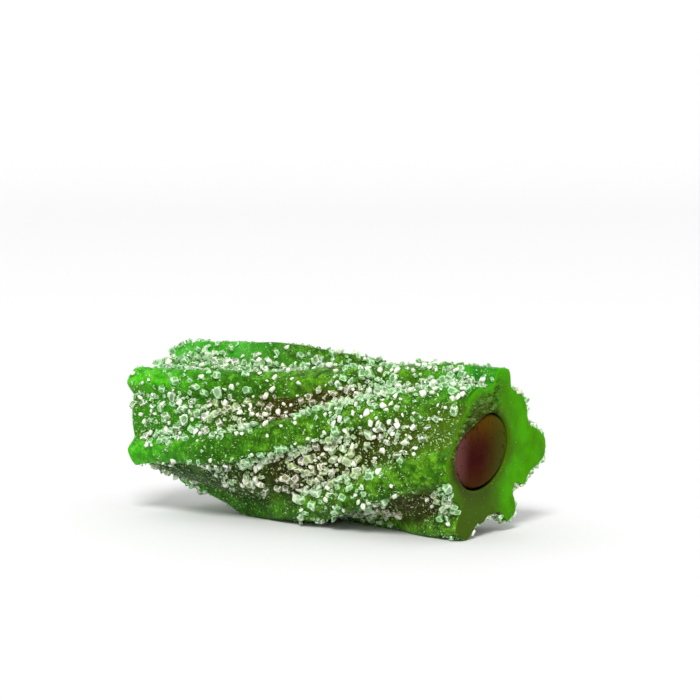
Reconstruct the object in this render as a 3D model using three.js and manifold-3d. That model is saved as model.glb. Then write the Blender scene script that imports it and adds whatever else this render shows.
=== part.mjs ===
// A short twist of sour licorice, lying on its side: a tube of green gel with seven ribs that wind round
// it, cut slantwise at both ends, with a plug of dark red gel in its bore and coarse sugar on its outside.
// Units are millimetres and +Z is up. The twist lies along X. A station runs from 0 at the raised end to 1
// at the end whose filling faces forward (+X). Angles round the tube start at +Y and pass the top (+Z).

import * as THREE from 'three';
import { mergeVertices } from 'three/addons/utils/BufferGeometryUtils.js';
import Module from 'manifold-3d';

// The tube
const LENGTH = 32.6;
const BODY_RADIUS = 6.15;
const START_SLIMMER = 0.12; // share of the radius that is lost towards the raised end
const START_SLIMMER_REACH = 0.3; // station where that begins
const END_BULGE = 0.45; // the tube is this much off centre at its front end,
const END_BULGE_ANGLE = 200; // towards this angle
const LUMP_HEIGHT = 0.07; // slow unevenness of the gel: three waves, each with how many there are round the
const LUMP_WAVES = [[3, 11, 0], [5, -17, 1.3], [0, 23, 0.6]]; // tube, radians along it and where it starts
const START_LIFT = 1.2; // the raised end curls up by this much
const START_LIFT_REACH = 0.36;
const SEAT_DEPTH = 0.45; // the gel has settled by this much where it rests, which gives small flats

// The slant of both cuts: degrees from square, seen from the side and from above
const START_CUT = { side: -3, above: 18, reach: 0.4 };
const FRONT_CUT = { side: 3, above: 8.5, reach: 0.4 };

// The ribs: the angle of each crest and its height at four stations, 0, 1/3, 2/3 and 1, half of the width
// halfway up, and the share of that by which the shoulders spread to either side
const RIBS = [
  { angles: [141, 128, 107, 86], heights: [1.3, 1.1, 1.2, 1.45], halfWidth: 1.15, shoulder: 0.4 },
  { angles: [211, 182, 153, 124], heights: [1.2, 1.2, 1.2, 0.55], halfWidth: 1.2, shoulder: 0.4 },
  { angles: [278, 257, 215, 186], heights: [0.8, 1.65, 1.3, 0.6], halfWidth: 1.35, shoulder: 0.4 },
  { angles: [325, 302, 268, 236], heights: [1.2, 1.3, 1.25, 1.95], halfWidth: 1.15, shoulder: 0.4 },
  { angles: [362, 350, 325, 296], heights: [1.3, 1.3, 1.2, 0.7], halfWidth: 0.9, shoulder: 0.4 },
  { angles: [406, 395, 381, 358], heights: [1.4, 1.4, 1.4, 2.1], halfWidth: 1.55, shoulder: 0.75 },
  { angles: [447, 437, 423, 405], heights: [1.0, 2.1, 1.3, 0.2], halfWidth: 1.2, shoulder: 0.4 },
];
const RIB_CROWN = 0.1; // share of its height that a rib's top falls away to its shoulders

// Dents that the knife left between the ribs at the front cut
const DENTS = [
  { angle: 314, depth: 1.25, halfWidth: 0.85, length: 7 },
  { angle: 272, depth: 0.85, halfWidth: 1.3, length: 7 },
  { angle: 40, depth: 0.2, halfWidth: 3, length: 6 },
];
const DENT_EDGE = 1.5; // half widths from a dent's middle to where it ends

// The bore is an ellipse with one side pressed in, off the middle of the tube, and it turns with the ribs
const BORE_LONG_RADIUS = 3.95;
const BORE_SHORT_RADIUS = 3.35;
const BORE_TILT = 15; // of the long radius at the front
const BORE_OFFSET = 2.15; // at the front,
const BORE_OFFSET_LEFT = 0.35; // and the share of it that is left at the raised end
const BORE_OFFSET_ANGLE = 171;
const BORE_FLAT = 0.68; // how far the pressed side is in,
const BORE_FLAT_ANGLE = 120; // round this angle,
const BORE_FLAT_REACH = 60; // for so many degrees to either side
const BORE_TURN = 65; // from the front end back to the raised end
const FILLING_GAP = 0.33;
const FILLING_RECESS = 0.35; // of its rim behind the cut
const FILLING_DOME = 0.3;

// How finely the surfaces are divided
const TUBE_ROWS = 34;
const FLANK_PLACES = [-0.9, 0, 0.9]; // columns beside a crest, in shoulders from a rib's half width
const BORE_ROWS = 9;
const FILLING_ROWS = 9;
const FILLING_SIDES = 36;
const FILLING_DOME_PLACES = [0.8, 0.45]; // rings on its domed ends, in radii

// The coarse sugar: the largest crystals only
const CRYSTAL_COUNT = 195;
const CRYSTAL_TRIES = 60000;
const CRYSTAL_SMALLEST = 0.72; // across
const CRYSTAL_LARGEST = 1.2;
const CRYSTAL_SIDES = [0.9, 0.72, 0.6]; // of the block that it is worn down from
const CRYSTAL_SPACING = 1.15;
const CRYSTAL_PROUD = 0.1; // of its size, from its middle to the gel
const CRYSTAL_WEAR = 0.3; // how far its corners may be drawn in
const CREST_WIDTH = 0.6; // the part of a rib's half width that stays nearly bare
const CREST_SHARE = 0.12; // of the crystals that would lie there
const CUT_MARGIN = 0.035; // stations without crystals beside each cut
const FLOOR_MARGIN = 0.85; // height above the floor below which none is stuck
const SEED = 8;

const GEL_GREEN = '#4e8a1c';
const FILLING_RED = '#41150d';

const manifold = await Module();
manifold.setup();

const radians = THREE.MathUtils.degToRad;

function ease(t) {
  return THREE.MathUtils.smoothstep(t, 0, 1);
}

// The smooth curve through four values that are a third of the length apart
function along([v0, v1, v2, v3], s) {
  const u = 3 * s;
  return (
    (-v0 * (u - 1) * (u - 2) * (u - 3)) / 6 +
    (v1 * u * (u - 2) * (u - 3)) / 2 -
    (v2 * u * (u - 1) * (u - 3)) / 2 +
    (v3 * u * (u - 1) * (u - 2)) / 6
  );
}

// How much of an end's slant or curl is felt at a station: none in the middle, all at the end
function nearStart(s, reach) {
  return ease((reach - s) / reach);
}

function nearFront(s, reach) {
  return ease((s - 1 + reach) / reach);
}

function slimming(s) {
  return 1 - START_SLIMMER * nearStart(s, START_SLIMMER_REACH);
}

// The angle between two directions, 0 to pi; the second one is in degrees
function apart(angle, degrees) {
  const turn = angle - radians(degrees);
  return Math.abs(Math.atan2(Math.sin(turn), Math.cos(turn)));
}

// How far an angle is from a rib's crest along the gel, in rib half widths
function fromCrest(rib, angle, s) {
  return (apart(angle, along(rib.angles, s)) * BODY_RADIUS) / rib.halfWidth;
}

// A rib is a slightly crowned band with round shoulders
function ribHeight(rib, angle, s) {
  const u = fromCrest(rib, angle, s);
  const crown = 1 - RIB_CROWN * Math.min(u, 1) ** 2;
  return along(rib.heights, s) * crown * ease((1 + rib.shoulder - u) / (2 * rib.shoulder));
}

function dentDepth(dent, angle, s) {
  const across = (apart(angle, dent.angle) * BODY_RADIUS) / dent.halfWidth;
  const back = ((1 - s) * LENGTH) / dent.length;
  return dent.depth * ease(DENT_EDGE - across) * ease(1 - back);
}

function lumps(angle, s) {
  const waves = LUMP_WAVES.map(([round, onward, start]) => Math.sin(round * angle + onward * s + start));
  return LUMP_HEIGHT * waves.reduce((total, wave) => total + wave);
}

function tubeRadius(angle, s) {
  const body = BODY_RADIUS * slimming(s) + lumps(angle, s);
  const bulge = END_BULGE * Math.cos(angle - radians(END_BULGE_ANGLE)) * ease((s - 0.5) / 0.5);
  const rib = Math.max(...RIBS.map((one) => ribHeight(one, angle, s)));
  const dent = Math.max(...DENTS.map((one) => dentDepth(one, angle, s)));
  return body + bulge + rib - dent;
}

// The slant of a cut carries the points near it forward or back
function slant(cut, y, z) {
  return Math.tan(radians(cut.side)) * z + Math.tan(radians(cut.above)) * y;
}

// Where a point of the section at a station lies, y and z being measured from the tube's axis
function place(s, y, z) {
  const atFront = nearFront(s, FRONT_CUT.reach) * slant(FRONT_CUT, y, z);
  const atStart = nearStart(s, START_CUT.reach) * slant(START_CUT, y, z);
  const lift = START_LIFT * nearStart(s, START_LIFT_REACH);
  return new THREE.Vector3(LENGTH * (s - 0.5) + atFront + atStart, y, z + lift);
}

function tubePoint(angle, s) {
  const radius = tubeRadius(angle, s);
  return place(s, radius * Math.cos(angle), radius * Math.sin(angle));
}

function boreOffset(s) {
  return BORE_OFFSET * (BORE_OFFSET_LEFT + (1 - BORE_OFFSET_LEFT) * s);
}

function boreTurned(s) {
  return BORE_TURN * (1 - s);
}

// The angle on the bore, from its own middle, that faces an angle on the outside, from the tube's axis
function boreAngle(angle, s) {
  const radius = ((BORE_LONG_RADIUS + BORE_SHORT_RADIUS) / 2) * slimming(s);
  const turn = angle - radians(BORE_OFFSET_ANGLE + boreTurned(s));
  return angle + Math.asin((boreOffset(s) / radius) * Math.sin(turn));
}

// A point of the bore or of the filling: grow is what its radii gain, share draws it in to the middle
function borePoint(angle, s, grow = 0, share = 1) {
  const size = slimming(s);
  const turned = boreTurned(s);
  const tilt = radians(BORE_TILT + turned);
  const fromFlat = apart(angle, BORE_FLAT_ANGLE + turned) / radians(BORE_FLAT_REACH);
  const gain = grow - BORE_FLAT * ease(1 - fromFlat);
  const long = share * (BORE_LONG_RADIUS * size + gain) * Math.cos(angle - tilt);
  const short = share * (BORE_SHORT_RADIUS * size + gain) * Math.sin(angle - tilt);
  const offsetAngle = radians(BORE_OFFSET_ANGLE + turned);
  const y = boreOffset(s) * Math.cos(offsetAngle) + long * Math.cos(tilt) - short * Math.sin(tilt);
  const z = boreOffset(s) * Math.sin(offsetAngle) + long * Math.sin(tilt) + short * Math.cos(tilt);
  return place(s, y, z);
}

function flankArcs(rib) {
  return FLANK_PLACES.map((across) => (1 + across * rib.shoulder) * rib.halfWidth);
}

// The columns follow the ribs: a crest, its flank, the middle of the valley and the next rib's flank
function columnAngles(s) {
  const angles = [];
  RIBS.forEach((rib, index) => {
    const next = RIBS[(index + 1) % RIBS.length];
    const crest = radians(along(rib.angles, s));
    let nextCrest = radians(along(next.angles, s));
    if (index === RIBS.length - 1) nextCrest += 2 * Math.PI;
    const flank = flankArcs(rib).map((arc) => crest + arc / BODY_RADIUS);
    const nextFlank = flankArcs(next).map((arc) => nextCrest - arc / BODY_RADIUS).reverse();
    const valley = (flank.at(-1) + nextFlank[0]) / 2;
    angles.push(crest, ...flank, valley, ...nextFlank);
  });
  return angles;
}

// A closed surface of rings with the same number of points; it closes on its first ring or on two poles
function ringSurface(rings, poles) {
  const sides = rings[0].length;
  const points = rings.flat();
  const faces = [];
  const apartBy = (a, b) => points[a].distanceTo(points[b]);
  const quads = (first, second) => {
    for (let i = 0; i < sides; i++) {
      const j = (i + 1) % sides;
      const [a, b, c, d] = [first + i, first + j, second + j, second + i];
      faces.push(...(apartBy(a, c) < apartBy(b, d) ? [a, b, c, a, c, d] : [a, b, d, b, c, d]));
    }
  };
  for (let k = 0; k + 1 < rings.length; k++) quads(k * sides, (k + 1) * sides);
  if (poles) {
    const last = (rings.length - 1) * sides;
    for (let i = 0; i < sides; i++) {
      const j = (i + 1) % sides;
      faces.push(points.length, j, i, points.length + 1, last + i, last + j);
    }
    points.push(...poles);
  } else {
    quads((rings.length - 1) * sides, 0);
  }
  const geometry = new THREE.BufferGeometry();
  geometry.setAttribute('position', new THREE.Float32BufferAttribute(points.flatMap((p) => p.toArray()), 3));
  geometry.setIndex(faces);
  return geometry;
}

function spread(count) {
  return Array.from({ length: count + 1 }, (_, k) => k / count);
}

// The tube with its bore: out along the outside from the raised end and back through the bore
function tubeGeometry() {
  const outside = spread(TUBE_ROWS).map((s) => columnAngles(s).map((angle) => tubePoint(angle, s)));
  const bore = spread(BORE_ROWS)
    .reverse()
    .map((s) => columnAngles(s).map((angle) => borePoint(boreAngle(angle, s), s)));
  return ringSurface([...outside, ...bore]);
}

// The filling: a plug a little slimmer than the bore, with domed ends just behind the cuts
function fillingGeometry() {
  const turn = spread(FILLING_SIDES).slice(0, -1).map((t) => 2 * Math.PI * t);
  const inset = FILLING_RECESS / LENGTH;
  const body = spread(FILLING_ROWS).map((t) => {
    const s = inset + t * (1 - 2 * inset);
    return turn.map((angle) => borePoint(angle, s, -FILLING_GAP));
  });
  const domeRing = (s, share, forward) => {
    const bulge = forward * FILLING_DOME * (1 - share ** 2);
    return turn.map((angle) => borePoint(angle, s, -FILLING_GAP, share).add(new THREE.Vector3(bulge, 0, 0)));
  };
  const start = FILLING_DOME_PLACES.map((share) => domeRing(inset, share, -1)).reverse();
  const front = FILLING_DOME_PLACES.map((share) => domeRing(1 - inset, share, 1));
  const poles = [domeRing(inset, 0, -1)[0], domeRing(1 - inset, 0, 1)[0]];
  return ringSurface([...start, ...body, ...front], poles);
}

// The geometry with nothing but its positions, and each corner there only once
function bareGeometry(geometry) {
  const bare = geometry.clone();
  bare.deleteAttribute('normal');
  bare.deleteAttribute('uv');
  return mergeVertices(bare, 1e-4);
}

function toSolid(geometry) {
  const merged = bareGeometry(geometry);
  return new manifold.Manifold(
    new manifold.Mesh({
      numProp: 3,
      vertProperties: new Float32Array(merged.attributes.position.array),
      triVerts: new Uint32Array(merged.index.array),
    }),
  );
}

function toGeometry(solid) {
  const mesh = solid.getMesh();
  const geometry = new THREE.BufferGeometry();
  const positions = new Float32Array(mesh.numVert * 3);
  for (let v = 0; v < mesh.numVert; v++) {
    for (let axis = 0; axis < 3; axis++) {
      positions[3 * v + axis] = mesh.vertProperties[mesh.numProp * v + axis];
    }
  }
  geometry.setAttribute('position', new THREE.BufferAttribute(positions, 3));
  geometry.setIndex(new THREE.BufferAttribute(new Uint32Array(mesh.triVerts), 1));
  geometry.computeVertexNormals();
  return geometry;
}

// A repeatable stream of numbers from 0 to 1
function seededRandom(seed) {
  let state = seed;
  return () => {
    state = (Math.imul(state, 1664525) + 1013904223) >>> 0;
    return state / 2 ** 32;
  };
}

function outwardAt(angle, s) {
  const step = 0.02;
  const here = tubePoint(angle, s);
  const round = tubePoint(angle + step, s).sub(here);
  const onward = tubePoint(angle, s + step / 10).sub(here);
  return round.cross(onward).normalize();
}

// Where the crystals stick: spread over the valleys and flanks, with few on the crests
function crystalPlaces(random, floor) {
  const places = [];
  for (let tries = 0; tries < CRYSTAL_TRIES && places.length < CRYSTAL_COUNT; tries++) {
    const s = CUT_MARGIN + random() * (1 - 2 * CUT_MARGIN);
    const angle = random() * 2 * Math.PI;
    const chance = random();
    const onCrest = RIBS.some((rib) => fromCrest(rib, angle, s) < CREST_WIDTH);
    const point = tubePoint(angle, s);
    if (onCrest && chance > CREST_SHARE) continue;
    if (point.z < floor + FLOOR_MARGIN) continue;
    if (places.some((other) => other.point.distanceTo(point) < CRYSTAL_SPACING)) continue;
    places.push({ point, outward: outwardAt(angle, s) });
  }
  return places;
}

// A crystal is an uneven block, longer one way than the others, turned at random
function crystalGeometry({ point, outward }, random) {
  const sizeRange = CRYSTAL_LARGEST - CRYSTAL_SMALLEST;
  const size = CRYSTAL_SMALLEST + sizeRange * random() ** 2;
  const block = bareGeometry(new THREE.BoxGeometry(...CRYSTAL_SIDES.map((side) => side * size)));
  const corners = block.attributes.position;
  for (let v = 0; v < corners.count; v++) {
    const worn = () => 1 - CRYSTAL_WEAR * random();
    corners.setXYZ(v, corners.getX(v) * worn(), corners.getY(v) * worn(), corners.getZ(v) * worn());
  }
  const turn = new THREE.Euler(2 * Math.PI * random(), 2 * Math.PI * random(), 2 * Math.PI * random());
  block.applyMatrix4(new THREE.Matrix4().makeRotationFromEuler(turn));
  const middle = point.clone().addScaledVector(outward, CRYSTAL_PROUD * size);
  block.translate(middle.x, middle.y, middle.z);
  return block;
}

// The shell is the tube with its crystals fused on, settled onto the floor at z = 0
function shellSolid() {
  const tube = tubeGeometry();
  tube.computeBoundingBox();
  const floor = tube.boundingBox.min.z + SEAT_DEPTH;
  const random = seededRandom(SEED);
  const crystals = crystalPlaces(random, floor).map((one) => toSolid(crystalGeometry(one, random)));
  const sugared = crystals.reduce((whole, crystal) => whole.add(crystal), toSolid(tube));
  const below = new THREE.BoxGeometry(2 * LENGTH, 2 * LENGTH, LENGTH);
  below.translate(0, 0, floor - LENGTH / 2);
  return { solid: sugared.subtract(toSolid(below)), floor };
}

function namedMesh(name, geometry, color, roughness) {
  const mesh = new THREE.Mesh(geometry, new THREE.MeshStandardMaterial({ color, roughness, metalness: 0 }));
  mesh.name = name;
  return mesh;
}

// The origin is under the middle of the shell's box, on the floor
const { solid, floor } = shellSolid();
const shell = namedMesh('licorice_shell', toGeometry(solid), GEL_GREEN, 0.45);
const filling = namedMesh('jelly_filling', fillingGeometry(), FILLING_RED, 0.3);
shell.geometry.computeBoundingBox();
const middle = shell.geometry.boundingBox.getCenter(new THREE.Vector3());
const group = new THREE.Group();
group.add(shell, filling);
group.position.set(-middle.x, -middle.y, -floor);

export default group;
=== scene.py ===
"""A short twist of sour licorice: green gel, a dark red jelly filling and a coat of coarse sugar.

Sizes are in millimetres and become metres where a mesh is made. A station runs along the twist from 0 at
its raised end to 1 at the end whose filling faces forward. Angles round it start at +Y and pass the top.
"""

import math
from collections import namedtuple

import bmesh
import bpy
import numpy as np
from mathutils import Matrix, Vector


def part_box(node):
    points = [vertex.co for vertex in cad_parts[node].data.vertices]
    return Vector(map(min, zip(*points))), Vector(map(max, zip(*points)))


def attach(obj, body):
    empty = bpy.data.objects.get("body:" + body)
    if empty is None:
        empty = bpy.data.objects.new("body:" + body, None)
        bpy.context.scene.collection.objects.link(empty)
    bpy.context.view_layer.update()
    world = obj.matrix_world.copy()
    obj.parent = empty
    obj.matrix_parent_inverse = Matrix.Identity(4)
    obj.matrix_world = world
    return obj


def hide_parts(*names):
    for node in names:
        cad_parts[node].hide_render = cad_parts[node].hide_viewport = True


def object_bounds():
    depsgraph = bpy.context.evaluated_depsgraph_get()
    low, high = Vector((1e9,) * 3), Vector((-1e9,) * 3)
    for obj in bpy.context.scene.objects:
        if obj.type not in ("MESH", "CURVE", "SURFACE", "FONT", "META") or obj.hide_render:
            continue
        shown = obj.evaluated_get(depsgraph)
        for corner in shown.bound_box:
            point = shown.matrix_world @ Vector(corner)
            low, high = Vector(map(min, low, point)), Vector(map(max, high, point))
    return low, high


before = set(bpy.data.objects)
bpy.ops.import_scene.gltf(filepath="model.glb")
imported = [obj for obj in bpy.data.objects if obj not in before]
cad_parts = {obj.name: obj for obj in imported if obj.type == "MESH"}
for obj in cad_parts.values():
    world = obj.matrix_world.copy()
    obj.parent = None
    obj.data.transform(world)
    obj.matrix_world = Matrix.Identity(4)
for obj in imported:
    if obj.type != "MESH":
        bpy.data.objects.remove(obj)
CAD_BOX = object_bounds()

MM = 0.001

# The tube, as in the solids
LENGTH = 32.6
BODY_RADIUS = 6.15
START_SLIMMER, START_SLIMMER_REACH = 0.12, 0.3
END_BULGE, END_BULGE_ANGLE, END_BULGE_REACH = 0.45, 200, 0.5
LUMP_HEIGHT, LUMP_WAVES = 0.07, [(3, 11, 0), (5, -17, 1.3), (0, 23, 0.6)]
START_LIFT, START_LIFT_REACH = 1.2, 0.36
START_CUT = {"side": -3, "above": 18, "reach": 0.4}
FRONT_CUT = {"side": 3, "above": 8.5, "reach": 0.4}

# The ribs: the angle of each crest and its height at four stations, and half of its width halfway up. Their
# shoulders spread to either side by a share of that, which is larger at one rib
RIB_SHOULDER = 0.4
RIBS = [
    {"angles": (141, 128, 107, 86), "heights": (1.3, 1.1, 1.2, 1.45), "half_width": 1.15},
    {"angles": (211, 182, 153, 124), "heights": (1.2, 1.2, 1.2, 0.55), "half_width": 1.2},
    {"angles": (278, 257, 215, 186), "heights": (0.8, 1.65, 1.3, 0.6), "half_width": 1.35},
    {"angles": (325, 302, 268, 236), "heights": (1.2, 1.3, 1.25, 1.95), "half_width": 1.15},
    {"angles": (362, 350, 325, 296), "heights": (1.3, 1.3, 1.2, 0.7), "half_width": 0.9},
    {"angles": (406, 395, 381, 358), "heights": (1.4, 1.4, 1.4, 2.1), "half_width": 1.55, "shoulder": 0.75},
    {"angles": (447, 437, 423, 405), "heights": (1.0, 2.1, 1.3, 0.2), "half_width": 1.2},
]
RIB_CROWN = 0.1

# Dents that the knife left between the ribs at the front cut
DENTS = [
    {"angle": 314, "depth": 1.25, "half_width": 0.85, "length": 7},
    {"angle": 272, "depth": 0.85, "half_width": 1.3, "length": 7},
    {"angle": 40, "depth": 0.2, "half_width": 3, "length": 6},
]
DENT_EDGE = 1.5

# The bore, an ellipse with one side pressed in, and its filling
BORE_LONG_RADIUS, BORE_SHORT_RADIUS = 3.95, 3.35
BORE_TILT = 15
BORE_OFFSET, BORE_OFFSET_LEFT, BORE_OFFSET_ANGLE = 2.15, 0.35, 171
BORE_FLAT, BORE_FLAT_ANGLE, BORE_FLAT_REACH = 0.68, 120, 60
BORE_TURN = 65
CAD_FILLING_GAP = 0.33
CAD_FILLING_RECESS = 0.35
CAD_FILLING_SIDES, CAD_FILLING_RINGS = 36, 10

# Fine form that only the render has
COLUMNS_PER_RIB = 36
TUBE_ROWS = 260
CUT_RINGS, CUT_RING_BUNCHING = 26, 1.3
BORE_ROWS, INSIDE_BORE = 24, 2.0
SMOOTH_END = 0.8
RIM_ROUNDING = 0.2
SOFT_RIM, SOFT_RIM_ANGLE, SOFT_RIM_REACH = 0.75, 160, 62
LIP, LIP_FROM_BORE, LIP_WIDTH = 0.1, 0.15, 0.3
LIP_ANGLE, LIP_SIDE_START, LIP_SIDE_FADE = 150, 0.1, 0.7
WORN_BORE_EDGE, WORN_BORE_REACH = 0.1, 0.18
CUT_HOLLOW, CUT_HOLLOW_REACH, CUT_HOLLOW_FROM_BORE = 0.1, 1.6, 1.2
CUT_WAVE_FADE = 0.5

# The filling: its rounded ends, and the crevice round them, which opens towards two angles
FILLING_SIDES = 160
FILLING_ROWS = 24
FILLING_INSET = 0.03
FILLING_RIM_GAP = 0.015
FILLING_RECESS = 0.1
FILLING_EDGE = 0.3
FILLING_DOME = 0.16
CREVICES = [
    {"angle": 262, "width": 0.2, "sharpness": 0.8},
    {"angle": 75, "width": 0.16, "sharpness": 6},
]

# Unevenness, in layers: how high and how coarse each one is in millimetres, and its seed
SKIN = [(0.06, 2.1, 7), (0.04, 1.0, 1), (0.02, 0.5, 2)]
CRUSTED_EDGE = [(0.12, 0.75, 3)]
PITTED_VALLEY = [(0.05, 0.45, 4)]
CUT_WAVES = [(0.07, 3.0, 5), (0.012, 0.9, 6)]
FILLING_WAVES = [(0.03, 2.0, 8)]

# The same for borders that wander, with heights in rib half widths
RAGGED_CREST = [(0.3, 0.9, 32), (0.2, 0.4, 33)]
RAGGED_BROWN = [(0.4, 1.3, 31)]

# Distances from a crest, in rib half widths: where a rib's edge is, and where its bare crest ends and the
# brown and the valleys set in, each with over how much
RIB_EDGE, EDGE_WIDTH, CRUST_WIDTH = 1.15, 0.35, 0.38
CREST_END, BROWN_START, VALLEY = (0.7, 0.8), (0.75, 0.8), (1.0, 0.5)

# Large odd numbers that scatter the lattice of the noise
SCATTER_STEPS = (73856093, 19349663, 83492791)
SCATTER_SEED, SCATTER_MIX = 2654435761, 1274126177

SEED = 11


def smooth(t):
    t = np.clip(t, 0.0, 1.0)
    return t * t * (3 - 2 * t)


def along(values, s):
    """The smooth curve through four values that are a third of the length apart."""
    v0, v1, v2, v3 = values
    u = 3 * s
    return (
        -v0 * (u - 1) * (u - 2) * (u - 3) / 6
        + v1 * u * (u - 2) * (u - 3) / 2
        - v2 * u * (u - 1) * (u - 3) / 2
        + v3 * u * (u - 1) * (u - 2) / 6
    )


def near_start(s, reach):
    return smooth((reach - s) / reach)


def near_front(s, reach):
    return smooth((s - 1 + reach) / reach)


def slimming(s):
    return 1 - START_SLIMMER * near_start(s, START_SLIMMER_REACH)


def apart(angle, degrees):
    """The angle between two directions, 0 to pi; the second one is in degrees."""
    turn = angle - np.radians(degrees)
    return np.abs(np.arctan2(np.sin(turn), np.cos(turn)))


def from_crest(rib, angle, s):
    """How far an angle is from a rib's crest along the gel, in rib half widths."""
    return apart(angle, along(rib["angles"], s)) * BODY_RADIUS / rib["half_width"]


def past_crest(rib, angle, s):
    """The same, and negative on the side where angles are smaller."""
    turn = angle - np.radians(along(rib["angles"], s))
    return np.arctan2(np.sin(turn), np.cos(turn)) * BODY_RADIUS / rib["half_width"]


def nearest_crest(angle, s):
    return np.min([from_crest(rib, angle, s) for rib in RIBS], axis=0)


def rib_height(rib, angle, s):
    u = from_crest(rib, angle, s)
    crown = 1 - RIB_CROWN * np.minimum(u, 1) ** 2
    shoulder = rib.get("shoulder", RIB_SHOULDER)
    return along(rib["heights"], s) * crown * smooth((1 + shoulder - u) / (2 * shoulder))


def dent_depth(dent, angle, s):
    across = apart(angle, dent["angle"]) * BODY_RADIUS / dent["half_width"]
    back = (1 - s) * LENGTH / dent["length"]
    return dent["depth"] * smooth(DENT_EDGE - across) * smooth(1 - back)


def lumps(angle, s):
    waves = [np.sin(round_way * angle + onward * s + start) for round_way, onward, start in LUMP_WAVES]
    return LUMP_HEIGHT * sum(waves)


def tube_radius(angle, s):
    body = BODY_RADIUS * slimming(s) + lumps(angle, s)
    bulge = END_BULGE * np.cos(angle - math.radians(END_BULGE_ANGLE)) * near_front(s, END_BULGE_REACH)
    rib = np.max([rib_height(one, angle, s) for one in RIBS], axis=0)
    dent = np.max([dent_depth(one, angle, s) for one in DENTS], axis=0)
    return body + bulge + rib - dent


def slant(cut, y, z):
    return math.tan(math.radians(cut["side"])) * z + math.tan(math.radians(cut["above"])) * y


def place(s, y, z):
    """Where a point of the section at a station lies, y and z being measured from the tube's axis."""
    at_front = near_front(s, FRONT_CUT["reach"]) * slant(FRONT_CUT, y, z)
    at_start = near_start(s, START_CUT["reach"]) * slant(START_CUT, y, z)
    lift = START_LIFT * near_start(s, START_LIFT_REACH)
    return np.stack([LENGTH * (s - 0.5) + at_front + at_start, y + 0 * s, z + lift], -1)


def tube_point(angle, s, proud=0.0):
    radius = tube_radius(angle, s) + proud
    return place(s, radius * np.cos(angle), radius * np.sin(angle))


def bore_offset(s):
    return BORE_OFFSET * (BORE_OFFSET_LEFT + (1 - BORE_OFFSET_LEFT) * s)


def bore_turned(s):
    return BORE_TURN * (1 - s)


def bore_angle(angle, s):
    """The angle on the bore, from its own middle, that faces an angle on the tube, from the tube's axis."""
    radius = (BORE_LONG_RADIUS + BORE_SHORT_RADIUS) / 2 * slimming(s)
    turn = angle - np.radians(BORE_OFFSET_ANGLE + bore_turned(s))
    return angle + np.arcsin(bore_offset(s) / radius * np.sin(turn))


def bore_section(angle, s, grow=0.0, share=1.0):
    """y and z of a point of the bore: grow is what its radii gain, share draws it in to the middle."""
    size = slimming(s)
    turned = bore_turned(s)
    tilt = np.radians(BORE_TILT + turned)
    from_flat = apart(angle, BORE_FLAT_ANGLE + turned) / math.radians(BORE_FLAT_REACH)
    gain = grow - BORE_FLAT * smooth(1 - from_flat)
    long = share * (BORE_LONG_RADIUS * size + gain) * np.cos(angle - tilt)
    short = share * (BORE_SHORT_RADIUS * size + gain) * np.sin(angle - tilt)
    offset_angle = np.radians(BORE_OFFSET_ANGLE + turned)
    y = bore_offset(s) * np.cos(offset_angle) + long * np.cos(tilt) - short * np.sin(tilt)
    z = bore_offset(s) * np.sin(offset_angle) + long * np.sin(tilt) + short * np.cos(tilt)
    return y, z


def bore_point(angle, s, grow=0.0, share=1.0):
    y, z = bore_section(angle, s, grow, share)
    return place(s, y, z)


def lattice_noise(points, grain, seed):
    """Smooth noise from -1 to 1 whose features are about grain millimetres across."""
    cell = np.floor(points / grain).astype(np.int64)
    part = points / grain - cell
    part = part * part * (3 - 2 * part)
    total = np.zeros(points.shape[:-1])
    for corner in np.ndindex(2, 2, 2):
        i, j, k = ((cell[..., axis] + corner[axis]) * SCATTER_STEPS[axis] for axis in range(3))
        key = i ^ j ^ k ^ (seed * SCATTER_SEED)
        key = (key ^ (key >> 13)) * SCATTER_MIX & 0xFFFFFFFF
        value = ((key ^ (key >> 16)) & 0xFFFF) / 32767.5 - 1
        weight = np.ones_like(total)
        for axis in range(3):
            weight = weight * (part[..., axis] if corner[axis] else 1 - part[..., axis])
        total += weight * value
    return total


def uneven(points, layers):
    return sum(height * lattice_noise(points, grain, seed) for height, grain, seed in layers)


def frame_shift():
    """What carries the twist's own coordinates onto the frame: the filling shows where it lies there."""
    turn = np.linspace(0, 2 * math.pi, CAD_FILLING_SIDES, endpoint=False)
    inset = CAD_FILLING_RECESS / LENGTH
    ring_y, ring_z = [], []
    for s in inset + np.linspace(0, 1, CAD_FILLING_RINGS) * (1 - 2 * inset):
        ring = bore_point(turn, np.full_like(turn, s), -CAD_FILLING_GAP)
        ring_y.append(ring[:, 1])
        ring_z.append(ring[:, 2])
    low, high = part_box("jelly_filling")
    y = (low.y + high.y) / 2 / MM - (np.min(ring_y) + np.max(ring_y)) / 2
    z = (low.z + high.z) / 2 / MM - (np.min(ring_z) + np.max(ring_z)) / 2
    front = bore_point(turn, np.full_like(turn, 1 - inset), -CAD_FILLING_GAP)
    x = high.x / MM - np.max(front[:, 0])
    return np.array([x, y, z])


SHIFT = frame_shift()


def column_angles(s):
    """Angles of the columns at a station, evenly shared between one rib's crest and the next."""
    crests = [np.radians(along(rib["angles"], s)) for rib in RIBS]
    crests.append(crests[0] + 2 * math.pi)
    share = np.arange(COLUMNS_PER_RIB) / COLUMNS_PER_RIB
    return np.concatenate([a + share * (b - a) for a, b in zip(crests, crests[1:])])


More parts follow.
